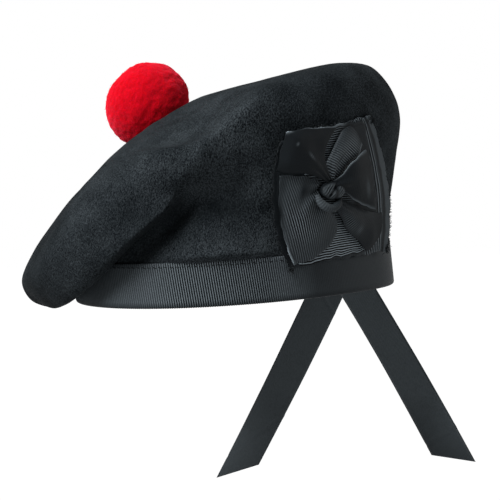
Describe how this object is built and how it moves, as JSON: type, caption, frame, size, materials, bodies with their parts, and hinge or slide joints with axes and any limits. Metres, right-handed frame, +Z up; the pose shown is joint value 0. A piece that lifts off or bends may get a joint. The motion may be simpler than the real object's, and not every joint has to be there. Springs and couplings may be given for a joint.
{
  "type": "balmoral bonnet",
  "caption": "Soft felt bonnet whose wide crown stands up on one side and flops on the other, with a ribbon band, ribbon cockade, ribbon ties and a woollen ball on top.",
  "frame": {"origin": "middle of the head opening, level with the lower edge of the band", "axes": "+Z up the wearer's head, -Y the way the wearer faces, +X the wearer's left, where the cockade is"},
  "size_m": [0.2304, 0.2444, 0.2844],
  "materials": {
    "felt": "matt blue-black wool felt with a short nap",
    "ribbon": "black grosgrain ribbon with a low sheen on its ribs",
    "wool": "matt scarlet wool, cut pile"
  },
  "bodies": {
    "root": {"crown": "felt", "band": "ribbon", "cockade_across": "ribbon", "cockade_upright": "ribbon", "bow_lower_left": "ribbon", "bow_upper_right": "ribbon", "bow_lower_right": "ribbon", "bow_upper_left": "ribbon", "bow_right": "ribbon", "bow_knot": "ribbon", "tail_left": "ribbon", "tail_right": "ribbon", "pompom": "wool"}
  },
  "joints": []
}
